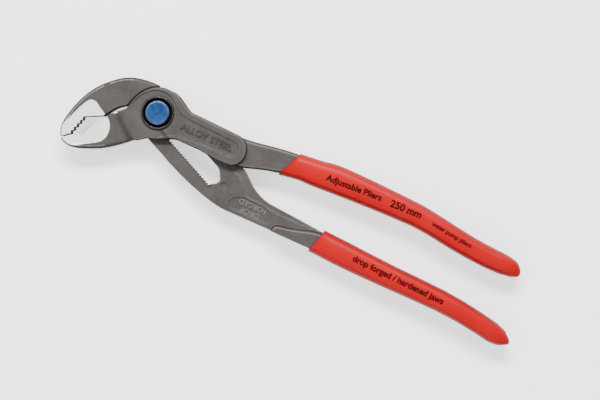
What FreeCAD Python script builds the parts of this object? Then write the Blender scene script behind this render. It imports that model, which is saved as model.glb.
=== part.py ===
import FreeCAD, Part
import math
import os

import Sketcher
from FreeCAD import Vector

# Tongue and groove pliers with a push button adjustment, 250 mm long, lying on their back side.
#
# Working frame, before the pliers are put on the ground: the hinge axis is Z through (0, 0), the
# thickness is centred on Z = 0, the handles run towards +X, and the jaws lie towards -X.
# The outer leg is the upper handle, the box around the hinge and the lower jaw, in one forging.
# The inner leg is the lower handle, the slotted web inside the box and the upper jaw.

SIZES = {
    # half thicknesses, from the middle plane
    "box_half": 7.0,
    "gap_half": 2.9,
    "web_half": 2.7,
    "jaw_half": 5.6,
    "ground_half": 5.3,
    "shank_half": 4.8,
    "grip_half": 6.8,
    # rounding of the forged edges
    "box_round": 1.3,
    "jaw_round": 1.8,
    "shank_round": 1.9,
    "web_round": 0.5,
    "grip_round": 4.6,
    # slot and rack: the slot runs down to the right, with its rack on the lower side
    "slot_angle": -24.4,
    "slot_half": 4.4,
    "slot_reach": 41.3,
    "tooth_pitch": 1.6,
    "tooth_depth": 0.9,
    "rack_teeth": 29,
    "rack_back": 0.4,
    "rabbet_depth": 1.5,
    # shallow recesses in the flat sides
    "recess_depth": 0.6,
    "shoulder_depth": 0.45,
    # hinge bolt, a cup on a hollow core
    "rim_level": 7.3,
    "cup_floor": 4.1,
    "cup_radius": 8.2,
    "cup_bore": 7.4,
    "counterbore_radius": 8.3,
    "ledge_level": 3.4,
    "ledge_bore": 7.0,
    "journal_radius": 6.9,
    "core_radius": 4.25,
    "core_bore": 3.05,
    "back_bore": 4.35,
    "window_half": 2.6,
    "running_gap": 0.05,
    # riveted washer and end plug on the back
    "washer_radius": 6.6,
    "washer_recess": 6.8,
    "washer_level": 5.5,
    "back_level": 6.9,
    "plug_radius": 3.05,
    "plug_level": 5.9,
    # locking plunger, spring and button
    "plunger_radius": 2.95,
    "plunger_bore": 2.15,
    "plunger_low": -3.3,
    "plunger_bore_top": 4.0,
    "plunger_top": 8.2,
    "key_low": 0.6,
    "key_high": 2.6,
    "key_half": 2.4,
    "key_gap": 0.15,
    "button_travel": 2.4,
    "button_low": 6.6,
    "button_high": 9.4,
    "button_radius": 5.9,
    "button_bevel": 0.7,
    "spring_radius": 1.75,
    "spring_wire": 0.5,
    "spring_pitch": 1.2,
    # where the working frame lies above the ground, set once the outlines are built
    "lay_x": 0.0,
    "lay_y": 0.0,
    "lay_z": 0.0,
}

doc = FreeCAD.newDocument("pliers")
sheet = doc.addObject("Spreadsheet::Sheet", "Sizes")
CELLS = {}
for row, (alias, value) in enumerate(SIZES.items(), start=1):
    CELLS[alias] = f"B{row}"
    sheet.set(f"A{row}", alias)
    sheet.set(CELLS[alias], str(value))
    sheet.setAlias(CELLS[alias], alias)
doc.recompute()

SLOT = math.radians(SIZES["slot_angle"])


# ---------------------------------------------------------------- outlines
# An outline is a list of runs. A run of two points is straight, and a longer one is a smooth curve.


def chain(*points):
    """Straight runs from each point to the next."""
    return [list(pair) for pair in zip(points, points[1:])]


def along_slot(distance, offset):
    """The point at a distance down the slot's centre line and an offset to its upper side."""
    x = distance * math.cos(SLOT) - offset * math.sin(SLOT)
    y = distance * math.sin(SLOT) + offset * math.cos(SLOT)
    return (x, y)


def polar(radius, degrees):
    """The point at a radius and angle about the hinge axis."""
    return (radius * math.cos(math.radians(degrees)), radius * math.sin(math.radians(degrees)))


def arc_run(radius, first, last, points=5):
    """A run that follows a circle about the hinge axis between two angles in degrees."""
    return [polar(radius, first + (last - first) * i / (points - 1)) for i in range(points)]


def bite(start, end, teeth, depth):
    """Points of a saw-tooth gripping face between two points, with its roots on the left."""
    (x0, y0), (x1, y1) = start, end
    length = math.hypot(x1 - x0, y1 - y0)
    side = (-(y1 - y0) / length * depth, (x1 - x0) / length * depth)
    points = [start]
    for tooth in range(teeth):
        root = (tooth + 0.5) / teeth
        tip = (tooth + 1) / teeth
        points.append((x0 + (x1 - x0) * root - side[0], y0 + (y1 - y0) * root - side[1]))
        points.append((x0 + (x1 - x0) * tip, y0 + (y1 - y0) * tip))
    return points


JAW_PIT = (-32.0, -16.1)
UPPER_TIP = (-39.9, -30.2)
UPPER_NIP = (-35.4, -26.9)
LOWER_TIP = (-39.4, -30.75)
LOWER_CREST = (-23.5, -12.7)

PARTING_GAP = 0.25
UPPER_BACK = [
    UPPER_TIP, (-41.3, -27.4), (-41.8, -24.5), (-41.2, -19.2), (-38.5, -10), (-32.9, 0),
    (-28.2, 5), (-21.5, 10), (-15, 12.25), (-10, 12.95), (-4.7, 13.1),
]
UPPER_PARTING = [(-9.37, 9.37), (-11.25, 7.3), (-13.25, 4.0), (-14.75, 0.2), (-15.4, -2.5)]
UPPER_THROAT = [
    (-15.4, -2.5), (-16.7, -3.5), (-18.4, -4.7), (-20, -6.3), (-21.3, -8), (-22.7, -10.1), (-24.2, -12.3),
]
UPPER_JAW = [
    UPPER_BACK,
    [(-4.7, 13.1), polar(13.25, 114)],
    arc_run(13.25, 114, 135),
    UPPER_PARTING,
    UPPER_THROAT,
    [(-24.2, -12.3), JAW_PIT],
    *chain(*bite(JAW_PIT, UPPER_NIP, 5, 0.95)),
    *chain(UPPER_NIP, (-36.8, -27.8), (-38.5, -29.5), UPPER_TIP),
]

LOWER_BELLY = [
    LOWER_TIP, (-38.8, -31.6), (-37, -32.5), (-34, -33), (-30, -32.4), (-25, -30.4),
    (-20, -28.1), (-15, -24.9), (-10, -20.9), (-4.3, -15.6),
]
LOWER_JAW = [
    LOWER_BELLY,
    *chain((-4.3, -15.6), (-2, -9), (-12, -3.4), (-14.4, -4.6)),
    [(-14.4, -4.6), (-16.3, -5.95), (-18.2, -6.95), (-20.1, -8.5), (-21.7, -10.3), LOWER_CREST],
    [LOWER_CREST, (-26.5, -15.1)],
    *chain(*bite((-26.5, -15.1), (-30.2, -24.9), 5, -0.5)),
    *chain((-30.2, -24.9), (-35.2, -27.4), (-36.6, -28.25), (-38.35, -29.95), LOWER_TIP),
]

BOX = [
    [(-15.1, -4.2), (-14.4, 0.2), (-12.95, 3.9), (-11, 7.1), (-9.19, 9.19)],
    arc_run(13.0, 135, 81, 7),
    [polar(13.0, 81), (4.9, 12.75), (7.5, 11.7), (10, 10.2), (12.4, 8.65), (14.8, 7.5), (18, 7.15)],
    [(18, 7.15), (30, 6.75), (40, 6.35)],
    [(40, 6.35), (44.3, 5.5), (47.3, 2.9), (48.7, -0.9), (48.5, -4.2), (46.9, -7.2), (44, -9.3)],
    [(44, -9.3), (39, -9.6), (32, -9.2), (26.5, -8.55)],
    [(26.5, -8.55), (16, -8.5)],
    [(16, -8.5), (12.5, -8.75), (8.8, -10.3), (5, -11.9), (-0.2, -13.5)],
    [(-0.2, -13.5), (-5.2, -17.1)],
    [(-5.2, -17.1), (-8.2, -16.7), (-11.5, -15), (-15.2, -11.2), (-17.3, -8.6), (-17.2, -6.3)],
    [(-17.2, -6.3), (-15.1, -4.2)],
]

UPPER_SHANK = [
    [(37, 4.6), (43, 5.85), (50, 6.6), (56, 7.6), (65, 9), (73, 9.8)],
    [(73, 9.8), (88, 10.2), (100, 10.8), (120, 10.4), (140, 9.4), (160, 6.4), (175, 4.2), (186, 3.4)],
    [(186, 3.4), (189.6, 1), (186.5, -1.3)],
    [(186.5, -1.3), (170, -0.6), (150, 1.4), (135, 2.2), (115, 1.8), (95, 1), (80, 0.3), (66, -3.15)],
    [(66, -3.15), (60, -4.6), (54.5, -6.35), (49.5, -7.9), (43, -8.3)],
    *chain((43, -8.3), (40, -5), (37, 4.6)),
]

# The way through the box that the inner leg fills. Its lower left wall is a wedge as wide as the
# opening angle, and its upper right wall lets the shoulder of the inner leg slide up.
BAND_OFFSET = -12.8
OPENING = 30.0


def wedge_point(distance, opened):
    """A point on the wall below the inner leg, closed or opened to the full angle."""
    x, y = along_slot(distance, BAND_OFFSET)
    turn = math.radians(-opened)
    return (x * math.cos(turn) - y * math.sin(turn), x * math.sin(turn) + y * math.cos(turn))


WEDGE_HALF = -BAND_OFFSET * math.tan(math.radians(OPENING / 2))
SHOULDER_OFFSET = 14.1
CHANNEL = chain(
    wedge_point(-16, 0),
    wedge_point(-WEDGE_HALF, 0),
    wedge_point(20, OPENING),
    (20, -25),
    (64, -25),
    (64, -4.1),
    along_slot(35.6, SHOULDER_OFFSET),
    along_slot(7, SHOULDER_OFFSET),
    (5, 16),
    (-20, 16),
    wedge_point(-16, 0),
)

WEB = [
    *chain((-18, 8), (-12, 12.3), (-6.2, 13), (44, -7.5)),
    [(44, -7.5), (47.5, -7.2), (50.5, -7.95), (54, -10.4), (58, -13.85), (62, -16.3), (66, -17.85),
     (70, -18.7)],
    [(70, -18.7), (84, -19.75), (101, -21.2)],
    *chain((101, -21.2), (101, -29), (78, -29), (77.5, -30.75), (50, -30.8)),
    [(50, -30.8), (45, -30.3), (40, -29.2), (30, -26.3), (20, -22.55), (10, -18.05)],
    *chain((10, -18.05), (-8.5, -9.7)),
    [(-8.5, -9.7), (-11, -7.7), (-13.1, -5.3), (-14.6, -3.5), (-16.8, -2)],
    *chain((-16.8, -2), (-20, 0), (-18, 8)),
]

LOWER_SHANK = [
    [(75.6, -31.05), (75.3, -29.2), (76.2, -27.5), (78.2, -26.65), (81.5, -26), (86, -25),
     (90, -23.8), (94, -22.6), (100.5, -21.9)],
    [(100.5, -21.9), (115, -22.6), (140, -23.8), (165, -25.1), (185, -27.5), (195, -29.2)],
    [(195, -29.2), (198.3, -31.7), (195.3, -33.9)],
    [(195.3, -33.9), (180, -32.5), (160, -31.6), (130, -31.4), (100, -31.15)],
    [(100, -31.15), (75.6, -31.05)],
]

# Areas ground bright on both sides of each jaw, a little below the forged surface.
UPPER_GROUND = [
    [(-23, -11.6), (-29.6, -7.6)],
    [(-29.6, -7.6), (-31.2, -6.9), (-32.9, -7.1), (-34.6, -8.6), (-36.2, -11.4), (-37.9, -15.3),
     (-39.6, -20.2), (-41.2, -25), (-42, -29)],
    *chain((-42, -29), (-41, -33), (-33.5, -33), (-31, -22), (-23, -11.6)),
]
LOWER_GROUND = [
    [(-22.4, -11.7), (-20.4, -13.6), (-19, -16), (-18.4, -19), (-18.8, -21.9), (-20.3, -24.4),
     (-23, -26.5), (-27, -28.9), (-31, -31.1), (-34, -32), (-37, -31.9), (-39.9, -30.9)],
    *chain((-39.9, -30.9), (-34, -22), (-28, -13), (-22.4, -11.7)),
]

# Recess around the hinge, open towards the jaw, that runs on as a long panel with a half round end.
# It leaves a thin lip along the curved parting and a border that fades out below the hinge.
PANEL = [
    [(-17.6, -5.9), (-15.4, -3.9), (-14, -1.4), (-12.9, 1.4), (-11.3, 4.6), (-9.4, 7.1), (-6.6, 9.4),
     (-3.4, 10.5), (0.4, 10.8), (4, 9.4), (6.9, 7.1), (9.9, 4.9), (14, 3.7)],
    [(14, 3.7), (20, 3.1), (30, 2.75), (40.7, 2.3)],
    [(40.7, 2.3), (43.6, 1.1), (44.7, -1.6), (43.6, -4.3), (40.7, -5.4)],
    [(40.7, -5.4), (26, -5.6), (19, -6), (13, -7.1), (8.5, -9), (5, -11.5), (2.6, -15)],
    *chain((2.6, -15), (0, -20), (-20, -20), (-21, -8), (-17.6, -5.9)),
]

# Shoulder of the inner leg beyond the slot, a little thinner than the web.
SHOULDER = [
    [(42, -10.4), (46, -11.1), (50, -12.4), (53, -14.6), (55.2, -17.6), (56.6, -19.5), (59, -20.35)],
    [(59, -20.35), (66, -20.75), (73, -21.6), (86, -21.9), (94, -21.5)],
    *chain((94, -21.5), (94, -15), (62, -8), (52, -3), (42, -3), (42, -10.4)),
]
CARTOUCHE = [
    [(50.3, -27.4), (50.7, -25.2), (52.4, -22.9), (55, -21.6), (59, -21.2)],
    [(59, -21.2), (65, -21.2), (69.5, -21.9), (72.3, -23.5), (73.3, -25.8), (72.9, -27.6), (71, -28.6)],
    [(71, -28.6), (51.6, -28.6)],
    [(51.6, -28.6), (50.3, -27.4)],
]
DIMPLE = (48.9, 0.5)
DIMPLE_RADIUS = 1.6

# Grips: stations along X with the lowest and highest point of the section.
UPPER_GRIP = [
    (62, -4.4, 9.7), (72, -3.0, 10.25), (76, -2.4, 10.8), (80, -1.95, 11.25), (84, -2.1, 11.55),
    (88, -2, 12.25), (91.5, -1.75, 12.95), (97, -1.45, 13.2),
    (110, -0.8, 13.1), (125, -0.3, 12.6), (140, -0.1, 11.95), (150, -1, 10.65), (160, -2.5, 9.05),
    (170, -3.55, 7.65), (180, -4.25, 6.8), (189, -4.2, 6.4), (195, -3.3, 5.15), (198.6, -1.8, 1.4),
]
LOWER_GRIP = [
    (92, -32.1, -19.4), (102, -32.85, -19.65), (112, -33.5, -20.15), (125, -33.8, -20.95),
    (140, -33.9, -21.75), (155, -33.85, -22.15), (168, -34, -22.7), (180, -34.85, -23.9),
    (190, -36.2, -25.45), (198, -37.55, -27), (203, -37.2, -28.7), (207.6, -34.9, -32.7),
]
UPPER_MOUTH = chain((50, -15), (66.2, -15), (67.4, -3.4), (69.5, 0), (71.8, 5.5), (73.6, 11.6),
                    (74, 25), (50, 25), (50, -15))
LOWER_MOUTH = chain((85, -45), (96, -45), (96.6, -32.3), (98.6, -26.2), (100.2, -19.6),
                    (100.6, -10), (85, -10), (85, -45))


# ---------------------------------------------------------------- building blocks


def plane_of(body, role):
    """One of the body's own origin planes."""
    return next(f for f in body.Origin.OriginFeatures if f.Role == role)


def edge_of(points):
    """A straight line through two points, or a smooth curve through more."""
    places = [Vector(x, y, 0) for x, y in points]
    if len(places) == 2:
        return Part.LineSegment(*places)
    curve = Part.BSplineCurve()
    curve.interpolate(places)
    return curve


def joined_sketch(body, name, outline, role="XY_Plane", level=None):
    """A closed sketch of the outline on an origin plane, lifted to a level of the sheet."""
    sketch = body.newObject("Sketcher::SketchObject", name)
    sketch.AttachmentSupport = [(plane_of(body, role), "")]
    sketch.MapMode = "FlatFace"
    if level:
        sketch.setExpression(".AttachmentOffset.Base.z", level)
    sketch.addGeometry([edge_of(run) for run in outline], False)
    count = len(outline)
    for index in range(count):
        sketch.addConstraint(Sketcher.Constraint("Coincident", index, 2, (index + 1) % count, 1))
    return sketch


def slab(name, outline, low, high, rounding=None, sharp=()):
    """A plate with the outline between two levels, its edges rounded except the sharp runs."""
    body = doc.addObject("PartDesign::Body", name)
    sketch = joined_sketch(body, name + "_outline", outline, level=low)
    pad = body.newObject("PartDesign::Pad", name + "_pad")
    pad.Profile = sketch
    pad.setExpression("Length", f"({high}) - ({low})")
    doc.recompute()
    if rounding:
        middles = [
            Part.Vertex(edge.valueAt((edge.FirstParameter + edge.LastParameter) / 2))
            for edge in (edge_of(run).toShape() for i, run in enumerate(outline) if i not in sharp)
        ]
        levels = {round(pad.Shape.BoundBox.ZMin, 4), round(pad.Shape.BoundBox.ZMax, 4)}
        names = []
        for number, edge in enumerate(pad.Shape.Edges, start=1):
            ends = {round(vertex.Z, 4) for vertex in edge.Vertexes}
            if len(ends) > 1 or not ends <= levels:
                continue
            flat = edge.copy()
            flat.translate(Vector(0, 0, -edge.Vertexes[0].Z))
            if any(flat.distToShape(middle)[0] < 0.01 for middle in middles):
                names.append(f"Edge{number}")
        fillet = body.newObject("PartDesign::Fillet", name + "_rounding")
        fillet.Base = (pad, names)
        fillet.setExpression("Radius", rounding)
        doc.recompute()
    return body


def through(name, outline, half, rounding=None, sharp=()):
    """A plate with the outline, as thick on both sides of the middle plane."""
    return slab(name, outline, f"-({half})", half, rounding, sharp)


def disc(name, radius, low, high, centre=(0, 0)):
    """A round piece about an axis along Z between two levels."""
    cylinder = doc.addObject("Part::Cylinder", name)
    cylinder.setExpression("Radius", radius)
    cylinder.setExpression("Height", f"({high}) - ({low})")
    cylinder.Placement.Base = Vector(centre[0], centre[1], 0)
    cylinder.setExpression("Placement.Base.z", low)
    return cylinder


def fuse(name, *pieces):
    """One solid of several."""
    union = doc.addObject("Part::MultiFuse", name)
    union.Shapes = list(pieces)
    union.Refine = True
    return union


def cut(name, base, *tools):
    """The base without the tools. The result has to be smaller than the base."""
    tool = tools[0] if len(tools) == 1 else fuse(name + "_tools", *tools)
    result = doc.addObject("Part::Cut", name)
    result.Base = base
    result.Tool = tool
    doc.recompute()
    if result.Shape.Volume > base.Shape.Volume - 0.01:
        raise RuntimeError(f"{name} removes nothing")
    return result


def both_sides(name, outline, half, depth):
    """Two shallow tools that recess an area on the front and on the back."""
    front = slab(name + "_front", outline, f"{half} - {depth}", f"{half} + 1")
    back = slab(name + "_back", outline, f"-{half} - 1", f"-{half} + {depth}")
    return [front, back]


S = "Sizes."


# ---------------------------------------------------------------- outer leg


def make_outer_leg():
    """Forged leg with the box, the lower jaw and the upper handle."""
    box = through("box", BOX, S + "box_half", S + "box_round", sharp=(8, 9, 10))
    jaw = through("lower_jaw", LOWER_JAW, S + "jaw_half", S + "jaw_round",
                  sharp=range(1, len(LOWER_JAW)))
    shank = through("upper_shank", UPPER_SHANK, S + "shank_half", S + "shank_round", sharp=(2, 5, 6))
    forging = fuse("outer_forging", box, jaw, shank)
    channel = through("channel", CHANNEL, S + "gap_half")
    counterbore = disc("counterbore", S + "counterbore_radius", S + "ledge_level", S + "box_half + 1")
    ledge = disc("ledge", S + "ledge_bore", "0", S + "box_half")
    back_bore = disc("back_bore_tool", S + "back_bore", f"-{S}box_half - 1", "0")
    washer_seat = disc("washer_seat", S + "washer_recess", f"-{S}box_half - 1",
                       f"-{S}washer_level + {S}running_gap * 2")
    panels = both_sides("panel", PANEL, S + "box_half", S + "recess_depth")
    ground = ground_tools("lower_ground", LOWER_GROUND)
    leg = cut("outer_leg", forging, channel, counterbore, ledge, back_bore, washer_seat,
              *panels, *ground)
    return leg, [shank]


def ground_tools(name, outline):
    """Tools that grind a jaw's two sides down to their bright flat."""
    front = slab(name + "_front", outline, S + "ground_half", S + "jaw_half + 1")
    back = slab(name + "_back", outline, f"-{S}jaw_half - 1", f"-{S}ground_half")
    return [front, back]


# ---------------------------------------------------------------- inner leg


def rack_points(tip, root, first, teeth):
    """Saw-tooth points along the slot, from root to root."""
    pitch = SIZES["tooth_pitch"]
    points = []
    for tooth in range(teeth):
        start = (first + tooth) * pitch
        points.append(along_slot(start, root))
        points.append(along_slot(start + pitch / 2, tip))
    points.append(along_slot((first + teeth) * pitch, root))
    return points


def slot_outline():
    """The long slot: rack below, smooth guide above, and a slanting lower end."""
    half = SIZES["slot_half"]
    first = -2
    teeth = int(SIZES["rack_teeth"])
    root = -half - SIZES["tooth_depth"]
    rack = rack_points(-half, root, first, teeth)
    end = SIZES["slot_reach"]
    start = along_slot(first * SIZES["tooth_pitch"], root)
    return [
        *chain(*rack),
        [rack[-1], along_slot(end + 3.6, -2.4)],
        [along_slot(end + 3.6, -2.4), along_slot(end + 4.4, -0.8), along_slot(end + 4.2, 1)],
        [along_slot(end + 4.2, 1), along_slot(end + 0.4, 3.9)],
        [along_slot(end + 0.4, 3.9), along_slot(end - 1.2, half)],
        [along_slot(end - 1.2, half), along_slot(0, half)],
        [along_slot(0, half), along_slot(-3.1, 3.1), along_slot(-half, 0), along_slot(-3.9, -2)],
        [along_slot(-3.9, -2), start],
    ]


def make_inner_leg():
    """Forged leg with the upper jaw, the slotted web and the lower handle."""
    last = len(UPPER_JAW)
    head = through("upper_jaw", UPPER_JAW, S + "jaw_half", S + "jaw_round", sharp=range(1, last))
    web = through("web", WEB, S + "web_half", S + "web_round", sharp=(0, 1, 5, 6, 7, 10, 12, 13, 14))
    shank = through("lower_shank", LOWER_SHANK, S + "shank_half", S + "shank_round", sharp=(1, 2, 3, 4))
    forging = fuse("inner_forging", head, web, shank)
    slot = through("slot", slot_outline(), S + "web_half + 1")
    half = SIZES["slot_half"]
    deep = -half - SIZES["rabbet_depth"]
    far = SIZES["slot_reach"] + 2.6
    rabbet = slab("rabbet", chain(along_slot(-3.4, -1), along_slot(-3.4, deep), along_slot(far, deep),
                                  along_slot(far, -1), along_slot(-3.4, -1)),
                  f"-{S}web_half - 1", S + "rack_back")
    shoulders = both_sides("shoulder", SHOULDER, S + "web_half", S + "shoulder_depth")
    cartouches = both_sides("cartouche", CARTOUCHE, S + "web_half", S + "recess_depth")
    dimple = disc("dimple", str(DIMPLE_RADIUS), f"{S}web_half - {S}recess_depth", S + "web_half + 1",
                  along_slot(*DIMPLE))
    ground = ground_tools("upper_ground", UPPER_GROUND)
    leg = cut("inner_leg", forging, slot, rabbet, dimple, *shoulders, *cartouches, *ground)
    return leg, [shank, web]


# ---------------------------------------------------------------- grips


def oval(sketch, low, high, half, corner):
    """A rounded rectangle in a section plane, from low to high and as thick as twice half."""
    middle = (low + high) / 2
    tall = (high - low) / 2
    corner = min(corner, 0.93 * tall, 0.93 * half)
    quarter = math.pi / 2
    edges = []
    turns = [(1, 1), (-1, 1), (-1, -1), (1, -1)]
    for number, (side, up) in enumerate(turns):
        centre = Vector(middle + side * (tall - corner), up * (half - corner), 0)
        circle = Part.Circle(centre, Vector(0, 0, 1), corner)
        edges.append(Part.ArcOfCircle(circle, number * quarter, (number + 1) * quarter))
        after = turns[(number + 1) % 4]
        nxt = Vector(middle + after[0] * (tall - corner), after[1] * (half - corner), 0)
        reach = Vector(math.cos((number + 1) * quarter), math.sin((number + 1) * quarter), 0) * corner
        edges.append(Part.LineSegment(centre + reach, nxt + reach))
    sketch.addGeometry(edges, False)
    for index in range(8):
        sketch.addConstraint(Sketcher.Constraint("Coincident", index, 2, (index + 1) % 8, 1))


def make_grip(name, stations, mouth, inside):
    """Dipped plastic sleeve over the pieces inside it, open at its slanting mouth."""
    body = doc.addObject("PartDesign::Body", name + "_form")
    sections = []
    last = len(stations) - 1
    for number, (x, low, high) in enumerate(stations):
        sketch = body.newObject("Sketcher::SketchObject", f"{name}_section{number}")
        sketch.AttachmentSupport = [(plane_of(body, "YZ_Plane"), "")]
        sketch.MapMode = "FlatFace"
        sketch.AttachmentOffset = FreeCAD.Placement(Vector(0, 0, x), FreeCAD.Rotation())
        thin = {last: 0.35, last - 1: 0.78}.get(number, 1.0)
        oval(sketch, low, high, SIZES["grip_half"] * thin, SIZES["grip_round"])
        sections.append(sketch)
    loft = body.newObject("PartDesign::AdditiveLoft", name + "_loft")
    loft.Profile = sections[0]
    loft.Sections = sections[1:]
    loft.Ruled = True
    doc.recompute()
    front = through(name + "_mouth", mouth, S + "box_half + 3")
    return cut(name, body, front, *inside)


# ---------------------------------------------------------------- hinge and button


def make_hinge_bolt():
    """Hollow bolt: a cup in the front of the box, and a core through slot and back."""
    cup = disc("cup", S + "cup_radius", f"{S}ledge_level + {S}running_gap", S + "rim_level")
    journal = disc("journal", S + "journal_radius", f"{S}gap_half + {S}running_gap",
                   f"{S}ledge_level + {S}running_gap")
    core = disc("core", S + "core_radius", f"-{S}back_level", S + "cup_floor")
    solid = fuse("bolt_blank", cup, journal, core)
    cup_bore = disc("cup_bore_tool", S + "cup_bore", S + "cup_floor", S + "rim_level + 1")
    bore = disc("bolt_bore", S + "core_bore", f"-{S}back_level - 1", S + "rim_level")
    half = SIZES["window_half"]
    corners = ((-half, -1), (-half, -5.5), (half, -5.5), (half, -1), (-half, -1))
    window = slab("key_window", chain(*(along_slot(*corner) for corner in corners)),
                  f"-{S}back_level - 1", f"{S}key_high + 2 * {S}running_gap")
    return cut("hinge_bolt", solid, cup_bore, bore, window)


def make_back_washer():
    """Washer that the back end of the bolt is riveted over."""
    blank = disc("washer_blank", S + "washer_radius", f"-{S}back_level", f"-{S}washer_level")
    hole = disc("washer_hole", S + "core_radius", f"-{S}back_level - 1", "0")
    return cut("back_washer", blank, hole)


def make_back_plug():
    """Plug that closes the bore of the bolt and carries the spring."""
    return disc("back_plug", S + "plug_radius", f"-{S}back_level", f"-{S}plug_level")


def make_plunger():
    """Sliding plunger with a toothed key that locks in the rack."""
    stem = disc("plunger_stem", S + "plunger_radius", S + "plunger_low", S + "plunger_top")
    gap = SIZES["key_gap"]
    tip = -SIZES["slot_half"] - SIZES["tooth_depth"] + gap
    root = -SIZES["slot_half"] + gap
    half = SIZES["key_half"]
    pitch = SIZES["tooth_pitch"]
    teeth = [along_slot(-half, root)]
    for tooth in (-1, 0, 1):
        teeth.append(along_slot(tooth * pitch, tip))
        teeth.append(along_slot((tooth + 0.5) * pitch, root))
    ends = [along_slot(half, -1.5), along_slot(-half, -1.5), along_slot(-half, root)]
    key = slab("key", chain(*teeth, *ends), S + "key_low", S + "key_high")
    blank = fuse("plunger_blank", stem, key)
    bore = disc("plunger_bore_tool", S + "plunger_bore", f"{S}plunger_low - 1", S + "plunger_bore_top")
    return cut("locking_plunger", blank, bore)


def make_spring():
    """Coil spring inside the plunger, drawn at the height it has with the button pressed."""
    helix = doc.addObject("Part::Helix", "spring_path")
    wire = f"{S}spring_wire"
    seat = f"-{S}plug_level + {wire} / 2 + {S}running_gap"
    helix.setExpression("Pitch", S + "spring_pitch")
    helix.setExpression("Radius", S + "spring_radius")
    helix.setExpression(
        "Height", f"{S}plunger_bore_top - {S}button_travel + {S}plug_level - {wire} - 4 * {S}running_gap")
    helix.setExpression("Placement.Base.z", seat)
    ring = doc.addObject("Part::Circle", "spring_section")
    ring.setExpression("Radius", f"{wire} / 2")
    ring.Placement = FreeCAD.Placement(Vector(0, 0, 0), FreeCAD.Rotation(Vector(1, 0, 0), 90))
    ring.setExpression("Placement.Base.x", S + "spring_radius")
    ring.setExpression("Placement.Base.z", seat)
    coil = doc.addObject("Part::Sweep", "button_spring")
    coil.Sections = [ring]
    coil.Spine = (helix, ["Edge1"])
    coil.Solid = True
    coil.Frenet = True
    return coil


def make_button():
    """Push button pressed on the plunger, with a bevelled face."""
    body = doc.addObject("PartDesign::Body", "button_body")
    sketch = body.newObject("Sketcher::SketchObject", "button_outline")
    sketch.AttachmentSupport = [(plane_of(body, "XY_Plane"), "")]
    sketch.MapMode = "FlatFace"
    sketch.setExpression(".AttachmentOffset.Base.z", S + "button_low")
    sketch.addGeometry(Part.Circle(Vector(0, 0, 0), Vector(0, 0, 1), SIZES["button_radius"]), False)
    sketch.addConstraint(Sketcher.Constraint("Coincident", 0, 3, -1, 1))
    sketch.addConstraint(Sketcher.Constraint("Radius", 0, SIZES["button_radius"]))
    sketch.renameConstraint(1, "face_radius")
    sketch.setExpression("Constraints.face_radius", S + "button_radius")
    pad = body.newObject("PartDesign::Pad", "button_pad")
    pad.Profile = sketch
    pad.setExpression("Length", f"{S}button_high - {S}button_low")
    doc.recompute()
    top = pad.Shape.BoundBox.ZMax
    rim = [f"Edge{i}" for i, edge in enumerate(pad.Shape.Edges, start=1)
           if edge.Vertexes[0].Z > top - 0.01 and edge.Vertexes[-1].Z > top - 0.01]
    bevel = body.newObject("PartDesign::Chamfer", "button_edge")
    bevel.Base = (pad, rim)
    bevel.setExpression("Size", S + "button_bevel")
    doc.recompute()
    socket = disc("button_socket", S + "plunger_radius", S + "button_low - 1", S + "plunger_top")
    return cut("push_button", body, socket)


# ---------------------------------------------------------------- the assembly

outer_leg, upper_inside = make_outer_leg()
inner_leg, lower_inside = make_inner_leg()
PARTS = [
    outer_leg,
    inner_leg,
    make_grip("upper_grip", UPPER_GRIP, UPPER_MOUTH, upper_inside),
    make_grip("lower_grip", LOWER_GRIP, LOWER_MOUTH, lower_inside),
    make_hinge_bolt(),
    make_back_washer(),
    make_back_plug(),
    make_plunger(),
    make_spring(),
    make_button(),
]
doc.recompute()

# Lay the pliers on the ground with the origin under the middle of their bounding box.
whole = FreeCAD.BoundBox()
for part in PARTS:
    part.Label = part.Name
    whole.add(part.Shape.optimalBoundingBox(False, False))
sheet.set(CELLS["lay_x"], str(round(-whole.Center.x, 3)))
sheet.set(CELLS["lay_y"], str(round(-whole.Center.y, 3)))
sheet.set(CELLS["lay_z"], str(round(-whole.ZMin, 3)))
doc.recompute()
for part in PARTS:
    for axis in "xyz":
        path = f"Placement.Base.{axis}"
        moved = [text for name, text in part.ExpressionEngine if name.strip(".") == path]
        part.setExpression(path, " + ".join([*moved, f"{S}lay_{axis}"]))
doc.recompute()

for item in doc.Objects:
    if {"Invalid", "Error"} & set(item.State):
        raise RuntimeError(f"{item.Name} failed: {item.State}")
os.makedirs("parts", exist_ok=True)
for part in PARTS:
    shape = part.Shape
    if shape.isNull() or not shape.isValid() or len(shape.Solids) != 1:
        raise RuntimeError(f"{part.Label} is not one valid solid")
    shape.exportStep(f"parts/{part.Label}.step")
    box = shape.BoundBox
    print(f"{part.Label}: {shape.Volume:.0f} mm3, {box.XLength:.2f} x {box.YLength:.2f} x {box.ZLength:.2f}")
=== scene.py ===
"""Looks of tongue and groove pliers: forged legs, ground jaws, a blue button and red dipped grips."""
import math

import bmesh
import bpy
import numpy as np
from mathutils import Matrix, Vector
from mathutils.bvhtree import BVHTree


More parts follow.
